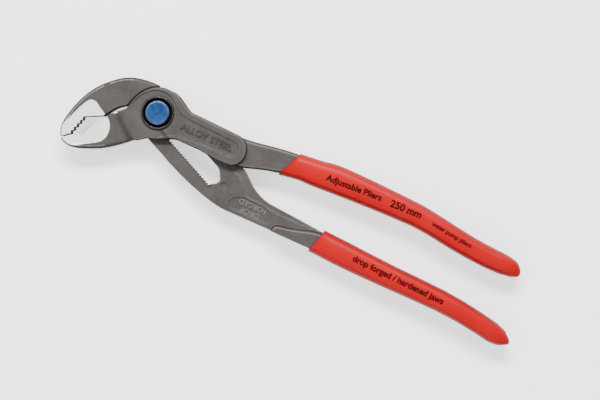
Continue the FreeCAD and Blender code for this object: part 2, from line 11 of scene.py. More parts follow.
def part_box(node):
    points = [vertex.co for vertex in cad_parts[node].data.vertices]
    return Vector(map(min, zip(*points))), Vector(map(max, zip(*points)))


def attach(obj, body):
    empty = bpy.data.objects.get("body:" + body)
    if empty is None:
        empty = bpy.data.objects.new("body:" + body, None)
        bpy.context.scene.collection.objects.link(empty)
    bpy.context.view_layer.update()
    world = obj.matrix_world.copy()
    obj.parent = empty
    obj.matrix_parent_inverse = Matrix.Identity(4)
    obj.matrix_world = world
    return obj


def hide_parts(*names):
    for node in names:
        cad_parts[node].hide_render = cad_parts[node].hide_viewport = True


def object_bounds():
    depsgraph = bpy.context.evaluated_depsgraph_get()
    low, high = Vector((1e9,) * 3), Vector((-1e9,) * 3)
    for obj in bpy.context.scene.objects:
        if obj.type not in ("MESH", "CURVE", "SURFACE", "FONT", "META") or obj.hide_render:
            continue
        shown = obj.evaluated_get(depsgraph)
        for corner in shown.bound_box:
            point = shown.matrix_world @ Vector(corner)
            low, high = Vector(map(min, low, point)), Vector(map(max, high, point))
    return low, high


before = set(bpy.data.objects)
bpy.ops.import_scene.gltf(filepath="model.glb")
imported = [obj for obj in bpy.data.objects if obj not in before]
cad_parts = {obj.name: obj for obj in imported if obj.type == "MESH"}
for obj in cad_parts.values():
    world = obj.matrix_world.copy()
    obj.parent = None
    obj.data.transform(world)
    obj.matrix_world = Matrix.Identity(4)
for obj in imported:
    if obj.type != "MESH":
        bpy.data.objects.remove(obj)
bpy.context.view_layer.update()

MM = 0.001


# ---------------------------------------------------------------- places

def middle_of(node):
    """The middle of a CAD node's box."""
    low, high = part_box(node)
    return (low + high) / 2


# Tool coordinates are millimetres from the hinge axis: u towards the handle ends, v towards the
# upper handle, w out of the side with the button, from the middle plane.
HINGE = middle_of("back_washer")
MIDDLE_PLANE = middle_of("outer_leg").z


def tool(u, v, w=0.0):
    """A point in the row frame, in metres, from tool coordinates in millimetres."""
    return Vector((HINGE.x + u * MM, HINGE.y + v * MM, MIDDLE_PLANE + w * MM))


def half_thickness(node):
    """Half of a node's height, in millimetres."""
    low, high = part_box(node)
    return (high.z - low.z) / 2 / MM


# ---------------------------------------------------------------- materials

def opaque(value):
    """A colour of three numbers with full alpha. Anything else stays as it is."""
    return (*value, 1.0) if isinstance(value, tuple) else value


class Shader:
    """A node material with a Principled surface, built by short calls."""

    def __init__(self, name):
        self.material = bpy.data.materials.new(name)
        self.material.use_nodes = True
        self.nodes = self.material.node_tree.nodes
        self.links = self.material.node_tree.links
        self.surface = self.nodes["Principled BSDF"]
        self.place = self.nodes.new("ShaderNodeTexCoord").outputs["Object"]

    def set(self, **values):
        """Sets inputs of the surface, with underscores for the spaces in their names."""
        for name, value in values.items():
            self.surface.inputs[name.replace("_", " ")].default_value = value

    def drive(self, name, output):
        """Links an output to an input of the surface."""
        self.links.new(output, self.surface.inputs[name])

    def attribute(self, name):
        """A number that the mesh stores per vertex."""
        node = self.nodes.new("ShaderNodeAttribute")
        node.attribute_name = name
        return node.outputs["Fac"]

    def noise(self, scale, detail, roughness, stretch=(1, 1, 1)):
        """Noise with features of about 1/scale metres, stretched along an axis where asked."""
        mapping = self.nodes.new("ShaderNodeMapping")
        mapping.inputs["Scale"].default_value = stretch
        self.links.new(self.place, mapping.inputs["Vector"])
        node = self.nodes.new("ShaderNodeTexNoise")
        node.inputs["Scale"].default_value = scale
        node.inputs["Detail"].default_value = detail
        node.inputs["Roughness"].default_value = roughness
        self.links.new(mapping.outputs["Vector"], node.inputs["Vector"])
        return node.outputs["Fac"]

    def noise_along(self, output, scale):
        """Noise that changes with one number only."""
        node = self.nodes.new("ShaderNodeTexNoise")
        node.noise_dimensions = "1D"
        node.inputs["Scale"].default_value = scale
        self.links.new(output, node.inputs["W"])
        return node.outputs["Fac"]

    def ramp(self, factor, *stops):
        """A ramp between two stops, each given as (position, colour)."""
        node = self.nodes.new("ShaderNodeValToRGB")
        for element, (position, colour) in zip(node.color_ramp.elements, stops):
            element.position = position
            element.color = opaque(colour)
        self.links.new(factor, node.inputs["Fac"])
        return node.outputs["Color"]

    def level(self, factor, low, high, first=0.0, last=1.0):
        """Maps a factor between first and last to a value between low and high."""
        node = self.nodes.new("ShaderNodeMapRange")
        node.inputs["From Min"].default_value = first
        node.inputs["From Max"].default_value = last
        node.inputs["To Min"].default_value = low
        node.inputs["To Max"].default_value = high
        self.links.new(factor, node.inputs["Value"])
        return node.outputs["Result"]

    def mix(self, factor, first, second, kind="RGBA"):
        """First where the factor is 0 and second where it is 1, each an output or a fixed value."""
        node = self.nodes.new("ShaderNodeMix")
        node.data_type = kind
        self.links.new(factor, node.inputs["Factor"])
        for name, value in (("A", first), ("B", second)):
            if isinstance(value, bpy.types.NodeSocket):
                self.links.new(value, node.inputs[name])
            else:
                node.inputs[name].default_value = opaque(value)
        return node.outputs["Result"]

    def mix_value(self, factor, first, second):
        """The same as mix, for numbers."""
        return self.mix(factor, first, second, kind="FLOAT")

    def bump(self, height, strength, distance, before=None):
        """Adds relief of a distance in metres to the surface normal, over an earlier relief."""
        node = self.nodes.new("ShaderNodeBump")
        node.inputs["Strength"].default_value = strength
        node.inputs["Distance"].default_value = distance
        self.links.new(height, node.inputs["Height"])
        if before:
            self.links.new(before, node.inputs["Normal"])
        self.drive("Normal", node.outputs["Normal"])
        return node.outputs["Normal"]


def make_forged_steel():
    """Phosphated forged steel with wear on its edges, painted highlights on brows, painted shade in grooves
    and on flanks, ground bright where the mesh says so.
    """
    dark_skin = (0.044, 0.040, 0.037)
    pale_skin = (0.068, 0.062, 0.058)
    speckle_colour = (0.125, 0.116, 0.109)
    wear_and_highlight_colour = (0.25, 0.236, 0.223)
    painted_shade_colour = (0.010, 0.009, 0.008)
    dull_ground = (0.80, 0.775, 0.76)
    bright_ground = (0.97, 0.955, 0.945)

    shader = Shader("forged_steel")
    patches = shader.noise(90, 5, 0.6)
    grain = shader.noise(1500, 4, 0.65)
    scratches = shader.noise(900, 3, 0.6, stretch=(1, 0.12, 1))
    edge = shader.level(shader.attribute("edge"), 0.0, 0.75)
    groove = shader.level(shader.attribute("groove"), 0.0, 0.8)
    ground = shader.attribute("ground")

    skin = shader.ramp(patches, (0.3, dark_skin), (0.7, pale_skin))
    skin = shader.mix(shader.level(grain, 0.0, 0.35, 0.42, 0.75), skin, speckle_colour)
    # The edge share lightens edges that stand out as wear, and brows and the band beside the ground faces as
    # painted highlight.
    skin = shader.mix(edge, skin, wear_and_highlight_colour)
    # Painted shade: the groove share darkens hollows, walls of the mouth and rack, the rack's crests, flanks
    # and the valley.
    skin = shader.mix(groove, skin, painted_shade_colour)
    bright = shader.ramp(scratches, (0.3, dull_ground), (0.7, bright_ground))
    shader.drive("Base Color", shader.mix(ground, skin, bright))
    shader.drive("Metallic", shader.mix_value(ground, 0.25, 0.2))
    shader.set(Specular_Tint=(0.4, 0.39, 0.38, 1))
    shader.drive("Specular IOR Level", shader.mix_value(groove, 0.28, 0.04))
    forged_rough = shader.level(grain, 0.55, 0.75)
    ground_rough = shader.level(scratches, 0.3, 0.46)
    shader.drive("Roughness", shader.mix_value(ground, forged_rough, ground_rough))
    relief = shader.bump(shader.mix_value(ground, grain, scratches), 0.35, 0.00012)
    shader.bump(patches, 0.3, 0.0004, relief)
    return shader.material


def make_red_plastic():
    """Glossy dipped PVC with a faint orange peel, with painted shade darkening its flanks."""
    dark_red = (0.37, 0.001, 0.003)
    bright_red = (0.43, 0.0015, 0.004)
    flank_shade_red = (0.12, 0.0006, 0.0014)

    shader = Shader("red_plastic")
    cloud = shader.noise(55, 4, 0.6)
    peel = shader.noise(420, 3, 0.5)
    fine = shader.noise(2600, 2, 0.5)
    skin = shader.ramp(cloud, (0.3, dark_red), (0.7, bright_red))
    shader.drive("Base Color", shader.mix(shader.attribute("flank"), skin, flank_shade_red))
    shader.drive("Roughness", shader.level(peel, 0.38, 0.5))
    shader.set(Coat_Weight=0.08, Coat_Roughness=0.3, Specular_IOR_Level=0.09)
    relief = shader.bump(peel, 0.22, 0.00025)
    shader.bump(fine, 0.12, 0.00004, relief)
    return shader.material


def make_print_ink():
    """Dark red ink of the print on the grips."""
    solid_ink = (0.010, 0.001, 0.001)
    thin_ink = (0.028, 0.0015, 0.0015)

    shader = Shader("print_ink")
    wear = shader.noise(1800, 3, 0.6)
    shader.drive("Base Color", shader.ramp(wear, (0.35, solid_ink), (0.75, thin_ink)))
    shader.drive("Roughness", shader.level(wear, 0.4, 0.6))
    shader.set(Specular_IOR_Level=0.1)
    return shader.material


def make_blue_button():
    """Blue anodised aluminium with a faint turned finish and a paler rim, which is a painted highlight on
    the bevel.
    """
    dark_blue = (0.014, 0.052, 0.190)
    pale_blue = (0.034, 0.110, 0.300)
    rim_highlight_blue = (0.14, 0.20, 0.34)

    shader = Shader("blue_button")
    cloud = shader.noise(420, 4, 0.6)
    turned = shader.noise_along(shader.attribute("radius"), 9.0)
    face = shader.ramp(cloud, (0.3, dark_blue), (0.7, pale_blue))
    rim = shader.level(shader.attribute("edge"), 0.0, 0.85)
    shader.drive("Base Color", shader.mix(rim, face, rim_highlight_blue))
    shader.set(Metallic=0.85, Specular_IOR_Level=0.25)
    shader.drive("Roughness", shader.level(turned, 0.28, 0.42))
    shader.bump(turned, 0.3, 0.00005)
    return shader.material


def make_dark_steel():
    """Blackened turned steel of the bolt."""
    black = (0.003, 0.0028, 0.0025)
    worn_black = (0.007, 0.006, 0.0055)

    shader = Shader("dark_steel")
    cloud = shader.noise(700, 4, 0.6)
    shader.drive("Base Color", shader.ramp(cloud, (0.3, black), (0.75, worn_black)))
    shader.set(Metallic=0.5, Specular_IOR_Level=0.2)
    shader.drive("Roughness", shader.level(cloud, 0.45, 0.6))
    shader.bump(cloud, 0.2, 0.00006)
    return shader.material


def make_rim_steel():
    """Grey turned steel of the bolt's rim and of the small parts behind and inside it."""
    dark_grey = (0.055, 0.050, 0.045)
    pale_grey = (0.095, 0.087, 0.078)

    shader = Shader("rim_steel")
    cloud = shader.noise(800, 4, 0.6)
    shader.drive("Base Color", shader.ramp(cloud, (0.3, dark_grey), (0.75, pale_grey)))
    shader.set(Metallic=0.95)
    shader.drive("Roughness", shader.level(cloud, 0.28, 0.42))
    shader.bump(cloud, 0.2, 0.00005)
    return shader.material


FORGED = make_forged_steel()
RED = make_red_plastic()
INK = make_print_ink()
BLUE = make_blue_button()
DARK = make_dark_steel()
RIM = make_rim_steel()


# ---------------------------------------------------------------- mesh helpers

def new_piece(name, mesh, material, body, slot, *nodes):
    """Shows a mesh as a piece that rides on a body and stands for CAD nodes."""
    mesh.materials.clear()
    mesh.materials.append(material)
    piece = bpy.data.objects.new(name, mesh)
    bpy.context.scene.collection.objects.link(piece)
    mesh.shade_smooth()
    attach(piece, body)
    if nodes:
        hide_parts(*nodes)
    return piece


def evaluated(name, data, *modifiers):
    """The mesh of a mesh or a text with modifiers applied, each given as (type, {setting: value})."""
    holder = bpy.data.objects.new(name, data)
    bpy.context.scene.collection.objects.link(holder)
    for number, (kind, settings) in enumerate(modifiers):
        modifier = holder.modifiers.new(f"step{number}", kind)
        for key, value in settings.items():
            setattr(modifier, key, value)
    graph = bpy.context.evaluated_depsgraph_get()
    mesh = bpy.data.meshes.new_from_object(holder.evaluated_get(graph), depsgraph=graph)
    bpy.data.objects.remove(holder)
    return mesh


def tree_of(mesh):
    """A ray caster for a mesh."""
    shape = bmesh.new()
    shape.from_mesh(mesh)
    tree = BVHTree.FromBMesh(shape)
    shape.free()
    return tree


def points_of(mesh):
    """Vertex places and normals as arrays."""
    count = len(mesh.vertices)
    places = np.zeros(count * 3)
    normals = np.zeros(count * 3)
    mesh.vertices.foreach_get("co", places)
    mesh.vertex_normals.foreach_get("vector", normals)
    return places.reshape(-1, 3), normals.reshape(-1, 3)


def move_points(mesh, places):
    """Puts the vertices at new places."""
    mesh.vertices.foreach_set("co", places.ravel())
    mesh.update()


def store(mesh, name, values):
    """Stores one number per vertex, which the materials read by its name."""
    layer = mesh.attributes.new(name, "FLOAT", "POINT")
    layer.data.foreach_set("value", values.astype(np.float32))


def paint(mesh, name, shares):
    """Stores a share from 0 to 1 per vertex."""
    store(mesh, name, np.clip(shares, 0, 1))


def neighbour_mean(mesh, values, rounds):
    """Smooths a number per vertex over the mesh's edges."""
    ends = np.zeros(len(mesh.edges) * 2, dtype=np.int64)
    mesh.edges.foreach_get("vertices", ends)
    ends = ends.reshape(-1, 2)
    weight = np.bincount(ends.ravel(), minlength=len(values))
    for _ in range(rounds):
        total = np.bincount(ends[:, 0], values[ends[:, 1]], len(values))
        total += np.bincount(ends[:, 1], values[ends[:, 0]], len(values))
        values = 0.5 * values + 0.5 * total / np.maximum(weight, 1)
    return values


def mean_places(mesh, places, rounds):
    """Places smoothed over the mesh's edges."""
    return np.stack([neighbour_mean(mesh, places[:, i], rounds) for i in range(3)], axis=1)


def convexity(mesh, rounds=6):
    """How far each vertex stands out of its neighbours along its normal, in millimetres."""
    places, normals = points_of(mesh)
    return ((places - mean_places(mesh, places, rounds)) * normals).sum(axis=1) / MM


def loft(name, rings, joined=False):
    """A closed mesh through rings of points, with its ends capped or joined to each other."""
    shape = bmesh.new()
    rows = [[shape.verts.new(point) for point in ring] for ring in rings]
    count = len(rows[0])
    followers = rows[1:] + rows[:1] if joined else rows[1:]
    for first, second in zip(rows, followers):
        for i in range(count):
            j = (i + 1) % count
            shape.faces.new((first[i], first[j], second[j], second[i]))
    if not joined:
        shape.faces.new(list(reversed(rows[0])))
        shape.faces.new(rows[-1])
    bmesh.ops.recalc_face_normals(shape, faces=shape.faces)
    mesh = bpy.data.meshes.new(name)
    shape.to_mesh(mesh)
    shape.free()
    return mesh


# ---------------------------------------------------------------- forged legs

WELD_DISTANCE = 0.001 * MM
FORGING_VOXEL = 0.24 * MM
SOFTENING_ROUNDS = 4
SLOT_ANGLE = math.radians(-24.4)    # from the u axis
MOUTH_SLOPE = 1.9                   # v over u along the mouth
JAW_HALF = half_thickness("inner_leg")

# Regions of the legs, as (lowest, highest) values of the coordinates that tool_coordinates gives.
GROUND_LEVELS = (JAW_HALF - 0.8, JAW_HALF - 0.12)
GROUND_FLATS = {"u": (-math.inf, -17.8), "off": GROUND_LEVELS, "upright": (0.93, math.inf)}
MOUTH = {"u": (-38.5, -13.5), "v": (-29.5, -3), "beside": (15, 48)}
BITE = {"u": (-37.5, -25), "v": (-27.5, -13), "beside": (33, 47)}
RACK = {"down": (-5, 45), "across": (-5.8, -3.9)}
RACK_CRESTS = {"down": (-5, 45), "across": (-5.5, -3.9)}
WALLS = {"upright": (-math.inf, 0.5)}
VALLEY = {"u": (-math.inf, -4), "v": (-18.5, -3.5), "off": (4.2, math.inf), "upright": (0.25, math.inf)}

# The foot of the step from the lower jaw up to the box, as (v, u) points.
VALLEY_LINE = ((-17, -7.4), (-11, -15.7), (-8.5, -17.9), (-6, -17.2), (-4, -15.6))
VALLEY_HALF_WIDTH = 3.0
VALLEY_ROUNDS = 90

# Wear and the painted shade in hollows start at a value and grow over a span of it. They go by the bulge in
# millimetres and by upright, which is 1 on the broad faces and 0 on the flanks. A brow is where a broad face
# begins to bend and gets a painted highlight; the flanks get painted shade.
WEAR_START, WEAR_SPAN = 0.03, 0.09
HOLLOW_SHADE_START, HOLLOW_SHADE_SPAN = 0.02, 0.08
BROW_UPRIGHT, BROW_SPAN, BROW_HIGHLIGHT = 0.94, 0.03, 0.65
FLANK_UPRIGHT, FLANK_SPAN, FLANK_SHADE = 0.8, 0.34, 0.8

# Wear and the painted highlight fade towards the jaws, and the painted shade of the flanks spreads there,
# from this u on and over a length of JAW_FADE.
JAW_START = -4
JAW_FADE = 10


def tool_coordinates(mesh):
    """Named coordinates of all vertices in millimetres, and how upright their normals are.

    Off is the distance from the middle plane, beside the height over a line that slopes like the
    mouth, and down and across run along the slot and square to it.
    """
    places, normals = points_of(mesh)
    u = (places[:, 0] - HINGE.x) / MM
    v = (places[:, 1] - HINGE.y) / MM
    return {
        "u": u,
        "v": v,
        "off": np.abs(places[:, 2] - MIDDLE_PLANE) / MM,
        "beside": v - MOUTH_SLOPE * u,
        "down": u * math.cos(SLOT_ANGLE) + v * math.sin(SLOT_ANGLE),
        "across": -u * math.sin(SLOT_ANGLE) + v * math.cos(SLOT_ANGLE),
        "upright": np.abs(normals[:, 2]),
    }


def within(where, region):
    """Which vertices lie in a region."""
    inside = [(where[name] > low) & (where[name] < high) for name, (low, high) in region.items()]
    return np.all(inside, axis=0)


def wall_share(where):
    """How much painted shade darkens the walls of the mouth, its throat and the rack, and the rack's crests.
    """
    walls = (within(where, MOUTH) | within(where, RACK)) & within(where, WALLS)
    return np.where(walls, 1.0, np.where(within(where, RACK_CRESTS), 0.6, 0.0))


def valley_share(where):
    """How near each vertex lies to the step from the lower jaw up to the box, from 0 to 1."""
    line = np.interp(where["v"], *zip(*VALLEY_LINE))
    near = np.clip(1.2 - np.abs(where["u"] - line) / VALLEY_HALF_WIDTH, 0, 1)
    return near * within(where, VALLEY)


def blend_valley(mesh):
    """Turns the step from the lower jaw up to the box into a broad valley."""
    places, _ = points_of(mesh)
    share = np.clip(1.2 * valley_share(tool_coordinates(mesh)), 0, 1)
    for _ in range(VALLEY_ROUNDS):
        places[:, 2] += (neighbour_mean(mesh, places[:, 2], 1) - places[:, 2]) * share
    move_points(mesh, places)


def soften(mesh):
    """Evens a mesh out like a forging, and leaves the rack and the gripping teeth crisp."""
    where = tool_coordinates(mesh)
    share = np.where(within(where, RACK) | within(where, BITE), 0.2, 1.0)[:, None]
    places, _ = points_of(mesh)
    for _ in range(SOFTENING_ROUNDS):
        places = places + (mean_places(mesh, places, 1) - places) * share
    move_points(mesh, places)


def forging_blank(node, end):
    """An even, dense mesh of a leg, cut off inside its grip at u = end."""
    shape = bmesh.new()
    shape.from_mesh(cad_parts[node].data)
    bmesh.ops.remove_doubles(shape, verts=shape.verts, dist=WELD_DISTANCE)
    everything = shape.verts[:] + shape.edges[:] + shape.faces[:]
    result = bmesh.ops.bisect_plane(
        shape, geom=everything, plane_co=tool(end, 0), plane_no=(1, 0, 0), clear_outer=True)
    rim = [item for item in result["geom_cut"] if isinstance(item, bmesh.types.BMEdge)]
    bmesh.ops.holes_fill(shape, edges=rim)
    mesh = bpy.data.meshes.new(node + "_blank")
    shape.to_mesh(mesh)
    shape.free()
    remesh = {"mode": "VOXEL", "voxel_size": FORGING_VOXEL, "adaptivity": 0.0}
    return evaluated("holder", mesh, ("REMESH", remesh))


def paint_forging(mesh):
    """Stores where a leg shows wear or gets a painted highlight, where it gets painted shade and where it is
    ground.
    """
    where = tool_coordinates(mesh)
    upright = where["upright"]
    bulge = convexity(mesh)
    ground = within(where, GROUND_FLATS).astype(float)
    valley = valley_share(where)
    jaw = np.clip((JAW_START - where["u"]) / JAW_FADE, 0, 1)

    # Painted highlight: a light line where a broad face begins to bend and a light band beside the ground
    # faces, with wear on edges that stand out; none of it in the valley.
    brow = BROW_HIGHLIGHT * np.exp(-((upright - BROW_UPRIGHT) / BROW_SPAN) ** 2)
    wear_and_highlight = np.maximum((bulge - WEAR_START) / WEAR_SPAN, brow) * (1 - 0.85 * jaw)
    wear_and_highlight = np.maximum(wear_and_highlight, 0.7 * neighbour_mean(mesh, ground, 5))
    paint(mesh, "edge", wear_and_highlight * (1 - np.clip(1.6 * valley, 0, 1)))

    # Painted shade: darker in hollows, on the walls of the mouth, its throat and the rack, on the rack's
    # crests, on the flanks and in the valley.
    hollow = (-bulge - HOLLOW_SHADE_START) / HOLLOW_SHADE_SPAN
    flank = FLANK_SHADE * np.clip((FLANK_UPRIGHT + 0.15 * jaw - upright) / FLANK_SPAN, 0, 1)
    paint(mesh, "groove", np.maximum.reduce([hollow, wall_share(where), flank, 0.4 * valley]))
    paint(mesh, "ground", neighbour_mean(mesh, ground, 1))


def forge(node, body, end):
    """A leg with the soft edges of a forging, cut off inside its grip at u = end."""
    mesh = forging_blank(node, end)
    soften(mesh)
    if node == "outer_leg":
        blend_valley(mesh)
    paint_forging(mesh)
    return new_piece(node + "_forging", mesh, FORGED, body, "forged_steel", node)


outer = forge("outer_leg", "outer_leg", 80)
inner = forge("inner_leg", "inner_leg", 108)


# ---------------------------------------------------------------- grips

GRIP_AROUND = 56
GRIP_STEPS = 190
GRIP_SQUARENESS = 2.75    # power of the superellipse of its section

# Lengths along a grip in millimetres: the stretch where the slant of the mouth fades out, the lip's
# swelling, the round that closes the end and the taper before it.
MOUTH_BLEND = 16.0
LIP_LENGTH = 1.9
END_ROUND = 1.5
END_TAPER = 13.0

LIP_SWELLING = 0.026
END_THINNING = 0.62
WAIST_DEPTH = 0.05
GRIP_FLANK_UPRIGHT, GRIP_FLANK_SPAN = 0.75, 0.5
MOUTH_INSET = 0.6 * MM       # outlines are read this far past the mouth, where the CAD grip is whole
OUTLINE_MARGIN = 0.2 * MM    # and no nearer than this to the ends of the CAD grip

# Rings that roll the edge of the mouth inwards, as (scale, shift along the grip in millimetres).
ROLLED_LIP = ((0.70, 0.5), (0.86, -0.05), (0.955, -0.22), (0.995, 0.05))


def smoothed(values, rounds=7):
    """A row of numbers evened out, with its ends held."""
    for _ in range(rounds):
        middle = (values[:-2] + 2 * values[1:-1] + values[2:]) / 4
        values = np.concatenate([values[:1], middle, values[-1:]])
    return values


def silhouette(node, xs, side):
    """Evened-out y of a CAD node's upper (side 1) or lower (side -1) outline at each x."""
    tree = tree_of(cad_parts[node].data)
    low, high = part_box(node)
    beyond = high.y + 1 if side > 0 else low.y - 1
    ys = []
    for x in xs:
        x = min(max(x, low.x + OUTLINE_MARGIN), high.x - OUTLINE_MARGIN)
        ys.append(tree.ray_cast(Vector((x, beyond, MIDDLE_PLANE)), Vector((0, -side, 0)))[0].y)
    return smoothed(np.array(ys))


def superellipse(turn, power):
    """A point of a unit square-ish round at an angle."""
    c, s = math.cos(turn), math.sin(turn)
    return math.copysign(abs(c) ** (2 / power), c), math.copysign(abs(s) ** (2 / power), s)


def grip_ring(centre, reach, half_thick):
    """A section of a grip, from its centre, the way from there to its top and half its thickness."""
    ring = []
    for step in range(GRIP_AROUND):
        across, out = superellipse(2 * math.pi * step / GRIP_AROUND, GRIP_SQUARENESS)
        ring.append(centre + reach * across + Vector((0, 0, half_thick * out)))
    return ring


def grip(name, node, body, lower_mouth, upper_mouth):
    """Dipped sleeve: a rolled lip at its slanting mouth, a crowned section and a round end."""
    _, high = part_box(node)
    length = high.x - tool(lower_mouth, 0).x
    shares = 0.5 - 0.5 * np.cos(np.pi * np.linspace(0.04, 1, GRIP_STEPS))
    shares = (shares - shares[0]) / (1 - shares[0])
    slant = np.clip(1 - shares * length / (MOUTH_BLEND * MM), 0, 1) ** 2
    bottom_x = tool(lower_mouth, 0).x + shares * length
    top_x = bottom_x + slant * (upper_mouth - lower_mouth) * MM
    tops = silhouette(node, np.maximum(top_x, tool(upper_mouth, 0).x + MOUTH_INSET), 1)
    bottoms = silhouette(node, bottom_x + MOUTH_INSET, -1)

    left = (1 - shares) * length / MM
    closing = np.sqrt(np.clip(1 - np.clip(1 - left / END_ROUND, 0, 1) ** 2, 0, 1))
    thinning = 1 - END_THINNING * np.clip(1 - left / END_TAPER, 0, 1) ** 2.2
    waist = 1 - WAIST_DEPTH * np.exp(-((shares - 0.02) / 0.10) ** 2)
    swelling = 1 + LIP_SWELLING * np.exp(-(shares * length / MM / LIP_LENGTH) ** 2)
    half_thick = half_thickness(node) * MM * closing * thinning * waist

    # The last step is left out, because it is a point.
    sections = [(0, scale, shift) for scale, shift in ROLLED_LIP]
    sections += [(index, swelling[index], 0.0) for index in range(1, GRIP_STEPS - 1)]
    rings = []
    for index, scale, shift in sections:
        top = Vector((top_x[index] + shift * MM, tops[index], MIDDLE_PLANE))
        bottom = Vector((bottom_x[index] + shift * MM, bottoms[index], MIDDLE_PLANE))
        reach = (top - bottom) / 2 * scale * closing[index]
        rings.append(grip_ring((top + bottom) / 2, reach, half_thick[index] * scale))
    mesh = loft(name, rings)
    _, normals = points_of(mesh)
    # Painted shade: the flanks of the grip are made darker.
    paint(mesh, "flank", (GRIP_FLANK_UPRIGHT - np.abs(normals[:, 2])) / GRIP_FLANK_SPAN)
    return new_piece(name, mesh, RED, body, "red_plastic", node)


upper = grip("upper_grip_sleeve", "upper_grip", "outer_leg", 67.4, 73.7)
lower = grip("lower_grip_sleeve", "lower_grip", "inner_leg", 96.6, 100.3)


# ---------------------------------------------------------------- lettering

RAISED_STROKE = 0.022
PRINTED_STROKE = 0.034
PRINT_LIFT = 0.02 * MM
LONGEST_EDGE = 1.2 * MM    # longer edges of letters are cut, so that they follow a curved surface
RAY_HEIGHT = 50 * MM       # from the middle plane, well outside the pliers


def surface_height(tree, x, y, side):
    """Height of a surface at a place, seen from the front (side 1) or the back (side -1)."""
    start = Vector((x, y, MIDDLE_PLANE + side * RAY_HEIGHT))
    return tree.ray_cast(start, Vector((0, 0, -side)))[0].z


def flat_letters(name, words, stroke):
    """A flat mesh of plain words, centred on the origin."""
    curve = bpy.data.curves.new(name, "FONT")
    curve.body = words
    curve.align_x = "CENTER"
    curve.align_y = "CENTER"
    curve.resolution_u = 4
    curve.offset = stroke
    return evaluated(name, curve)


def raise_letters(shape, side, relief):
    """Turns flat letters into raised ones with open undersides."""
    bmesh.ops.recalc_face_normals(shape, faces=shape.faces)
    base = shape.faces[:]
    for face in base:
        if face.normal.z * side < 0:
            face.normal_flip()
    result = bmesh.ops.extrude_face_region(shape, geom=base)
    for item in result["geom"]:
        if isinstance(item, bmesh.types.BMVert):
            item.co.z += side * relief * MM
    bmesh.ops.delete(shape, geom=base, context="FACES_ONLY")
    bmesh.ops.recalc_face_normals(shape, faces=shape.faces)


def letters(name, words, carrier, body, start, end, side, material, slot, relief=0, wear_and_highlight=0, dusky=0):
    """Words from start to end on a piece, printed or raised, on the front (side 1) or back (side -1).

    Start and end are tool coordinates of the middle of the first and the last letter's height.
    The tops of raised letters are painted lighter, as wear and a painted highlight, and darker, as painted
    shade, by the two last arguments; their walls get painted shade.
    """
    mesh = flat_letters(name, words, RAISED_STROKE if relief else PRINTED_STROKE)
    places, _ = points_of(mesh)
    run = tool(*end) - tool(*start)
    size = run.length / (places[:, 0].max() - places[:, 0].min())
    turn = Matrix.Rotation(math.atan2(run.y, run.x), 4, "Z") @ Matrix.Diagonal((size, size * side, 1, 1))
    mesh.transform(Matrix.Translation((tool(*start) + tool(*end)) / 2) @ turn)

    tree = tree_of(carrier.data)
    shape = bmesh.new()
    shape.from_mesh(mesh)
    long_edges = [edge for edge in shape.edges if edge.calc_length() > LONGEST_EDGE]
    bmesh.ops.subdivide_edges(shape, edges=long_edges, cuts=2)
    for vertex in shape.verts:
        vertex.co.z = surface_height(tree, vertex.co.x, vertex.co.y, side) + side * PRINT_LIFT
    if relief:
        raise_letters(shape, side, relief)
    shape.to_mesh(mesh)
    shape.free()

    if relief:
        places, _ = points_of(mesh)
        surface = np.array([surface_height(tree, x, y, side) for x, y in places[:, :2]])
        top = side * (places[:, 2] - surface) / MM > relief / 2
        # Wear and a painted highlight make the tops lighter; painted shade darkens the walls, and the tops
        # too where asked.
        paint(mesh, "edge", np.where(top, wear_and_highlight, 0.0))
        paint(mesh, "groove", np.where(top, dusky, 1.0))
    new_piece(name, mesh, material, body, slot).data.shade_flat()


for side, label in ((1, "front"), (-1, "back")):
    letters(f"panel_letters_{label}", "ALLOY STEEL", outer, "outer_leg", (13.4, -1.2), (41.2, -1.5), side,
            FORGED, "forged_steel", relief=0.4, dusky=0.35)
    letters(f"cartouche_letters_{label}", "DROP\nFORGED", inner, "inner_leg", (69.4, -25), (54.8, -25), side,
            FORGED, "forged_steel", relief=0.35, wear_and_highlight=0.5)
for name, words, carrier, body, start, end in (
    ("upper_print", "Adjustable Pliers", upper, "outer_leg", (90, 4.9), (119.5, 6.4)),
    ("size_print", "250 mm", upper, "outer_leg", (124.5, 6.1), (141, 6.6)),
    ("small_print", "water pump pliers", upper, "outer_leg", (147.5, 5.4), (170, 2.7)),
    ("lower_print", "drop forged / hardened jaws", lower, "inner_leg", (118.5, -26.5), (168.5, -28.3)),
):
    letters(name, words, carrier, body, start, end, 1, INK, "red_plastic")


# ---------------------------------------------------------------- button and bolt

TURNED_AROUND = 128
AXIS_RADIUS = 0.05    # of the ring that stands for the axis, because a ring can't be a point


def turned_rings(profile):
    """Rings about the hinge axis through (radius, level) points in millimetres."""
    turns = [2 * math.pi * i / TURNED_AROUND for i in range(TURNED_AROUND)]
    rings = []
    for radius, level in profile:
        rings.append([tool(radius * math.cos(a), radius * math.sin(a), level) for a in turns])
    return rings


def turned_size(node):
    """Radius, lowest level and highest level of a round CAD node, in millimetres."""
    low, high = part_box(node)
    return (high.x - low.x) / 2 / MM, (low.z - MIDDLE_PLANE) / MM, (high.z - MIDDLE_PLANE) / MM


def rounded(corner, radius, start, end, points):
    """Profile points of a rounded corner, from one angle in degrees to another."""
    angles = [math.radians(start + (end - start) * i / (points - 1)) for i in range(points)]
    return [(corner[0] + radius * math.cos(a), corner[1] + radius * math.sin(a)) for a in angles]


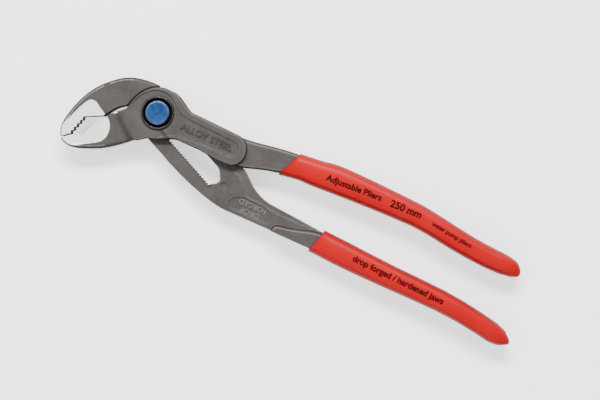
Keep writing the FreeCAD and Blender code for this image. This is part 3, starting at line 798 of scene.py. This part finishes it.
def make_button():
    """Blue cap with a bevelled edge and a slightly hollow face."""
    radius, bottom, top = turned_size("push_button")
    chamfer, bevel, corner = 0.2, 0.5, 0.15
    face = top - 0.03
    hollow_radius, hollow_depth = 5.0, 0.16
    profile = [(AXIS_RADIUS, bottom), (radius - chamfer, bottom), (radius, bottom + chamfer)]
    profile += rounded((radius - corner, top - bevel - 0.05), corner, 0, 40, 3)
    profile += rounded((radius - bevel - 0.05, top - corner), corner, 50, 90, 3)
    profile += [(radius - bevel - 0.6, face)]
    for r in (4.4, 3.6, 2.7, 1.8, 0.9, AXIS_RADIUS):
        profile.append((r, face - hollow_depth * (1 - (r / hollow_radius) ** 2)))
    mesh = loft("button_cap", turned_rings(profile))
    places, normals = points_of(mesh)
    radii = np.hypot(places[:, 0] - HINGE.x, places[:, 1] - HINGE.y) / MM
    store(mesh, "radius", radii)
    # Painted highlight: the bevel of the rim, where it faces the front, is made paler.
    paint(mesh, "edge", 0.6 * ((radii > radius - bevel - 0.1) & (normals[:, 2] > 0.15)))
    new_piece("button_cap", mesh, BLUE, "push_button", "blue_button", "push_button")


def make_rim():
    """Raised rim of the bolt around the button, a little proud of the CAD bolt."""
    radius, _, top = turned_size("hinge_bolt")
    width = 1.5
    outside = radius + 0.03
    inside = outside - width
    crest = top + 0.04
    profile = [(inside, crest - 2.6), (inside, crest - 1.5)]
    profile += rounded((inside + 0.95, crest - 0.2), 0.2, 135, 90, 3)
    profile += rounded((outside - 0.27, crest - 0.25), 0.25, 90, 0, 5)
    profile += [(outside - 0.02, crest - 2.4)]
    mesh = loft("bolt_rim", turned_rings(profile), joined=True)
    new_piece("bolt_rim", mesh, RIM, "hinge_bolt", "dark_steel")


def finish_node(node, material):
    """Gives a CAD node that is shown as it is a better material."""
    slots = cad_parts[node].data.materials
    slots.clear()
    slots.append(material)


make_button()
make_rim()
finish_node("hinge_bolt", DARK)
for small_part in ("back_washer", "back_plug", "locking_plunger", "button_spring"):
    finish_node(small_part, RIM)


# ---------------------------------------------------------------- floor, light and camera

VIEW_ROLL = math.radians(24.0)
VIEW_AIM = tool(82.5, -10.8)
VIEW_WIDTH = 300.0 * MM
VIEW_WIDTH_LEVEL = 3.5 * MM    # height over the middle plane at which the picture is that wide
VIEW_DISTANCE = 0.95           # metres over the middle plane
FLOOR_SIZE = 6
FLOOR_GAP = 0.3 * MM
FLOOR_GLOW = 1.1
HORIZON_GLOW = 0.05
OVERHEAD_GLOW = 0.75


def make_floor():
    """Large pale board just under the pliers, glowing softly like a light table."""
    low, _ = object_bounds()
    bpy.ops.mesh.primitive_plane_add(size=FLOOR_SIZE, location=(0, 0, low.z - FLOOR_GAP))
    floor = bpy.context.active_object
    floor.name = "floor"
    shader = Shader("pale_board")
    cloud = shader.noise(3, 3, 0.5)
    shader.drive("Base Color", shader.ramp(cloud, (0.3, (0.92, 0.92, 0.92)), (0.7, (0.95, 0.95, 0.95))))
    shader.set(Roughness=0.9, Specular_IOR_Level=0.1)
    shader.set(Emission_Color=(1, 1, 1, 1), Emission_Strength=FLOOR_GLOW)
    floor.data.materials.append(shader.material)


def area_light(name, offset, size, power):
    """A soft rectangular light, offset from the view's aim to the right, up and above, and turned to it."""
    rightwards = Vector((math.cos(VIEW_ROLL), math.sin(VIEW_ROLL), 0))
    upwards = Vector((-math.sin(VIEW_ROLL), math.cos(VIEW_ROLL), 0))
    right, up, above = offset
    place = VIEW_AIM + rightwards * right + upwards * up + Vector((0, 0, above))
    data = bpy.data.lights.new(name, "AREA")
    data.shape = "RECTANGLE"
    data.size, data.size_y = size
    data.energy = power
    light = bpy.data.objects.new(name, data)
    light.location = place
    light.rotation_mode = "QUATERNION"
    light.rotation_quaternion = (VIEW_AIM - place).to_track_quat("-Z", "Y")
    bpy.context.scene.collection.objects.link(light)


def make_lights():
    """Long soft light from beyond the picture's top and weaker ones from the left and below."""
    area_light("key", (0, 0.85, 0.95), (1.0, 0.25), 38)
    area_light("side", (-1.1, 0.3, 0.9), (0.5, 0.5), 7)
    area_light("fill", (0, -1.1, 0.9), (1.0, 0.4), 7)


def make_room():
    """Room that is bright overhead and dark at the level of the pliers."""
    world = bpy.data.worlds.new("room")
    world.use_nodes = True
    nodes, links = world.node_tree.nodes, world.node_tree.links
    nodes["Background"].inputs["Color"].default_value = (1, 1, 1, 1)
    split = nodes.new("ShaderNodeSeparateXYZ")
    links.new(nodes.new("ShaderNodeTexCoord").outputs["Generated"], split.inputs["Vector"])
    glow = nodes.new("ShaderNodeMapRange")
    glow.interpolation_type = "SMOOTHSTEP"
    glow.inputs["To Min"].default_value = HORIZON_GLOW
    glow.inputs["To Max"].default_value = OVERHEAD_GLOW
    links.new(split.outputs["Z"], glow.inputs["Value"])
    links.new(glow.outputs["Result"], nodes["Background"].inputs["Strength"])
    bpy.context.scene.world = world


def make_camera():
    """Straight above the pliers, rolled so that the handles run down to the right."""
    data = bpy.data.cameras.new("camera")
    camera = bpy.data.objects.new("camera", data)
    camera.location = VIEW_AIM + Vector((0, 0, VIEW_DISTANCE))
    camera.rotation_euler = (0, 0, VIEW_ROLL)
    data.lens = data.sensor_width * (VIEW_DISTANCE - VIEW_WIDTH_LEVEL) / VIEW_WIDTH
    bpy.context.scene.collection.objects.link(camera)
    bpy.context.scene.camera = camera


make_floor()
make_lights()
make_room()
make_camera()
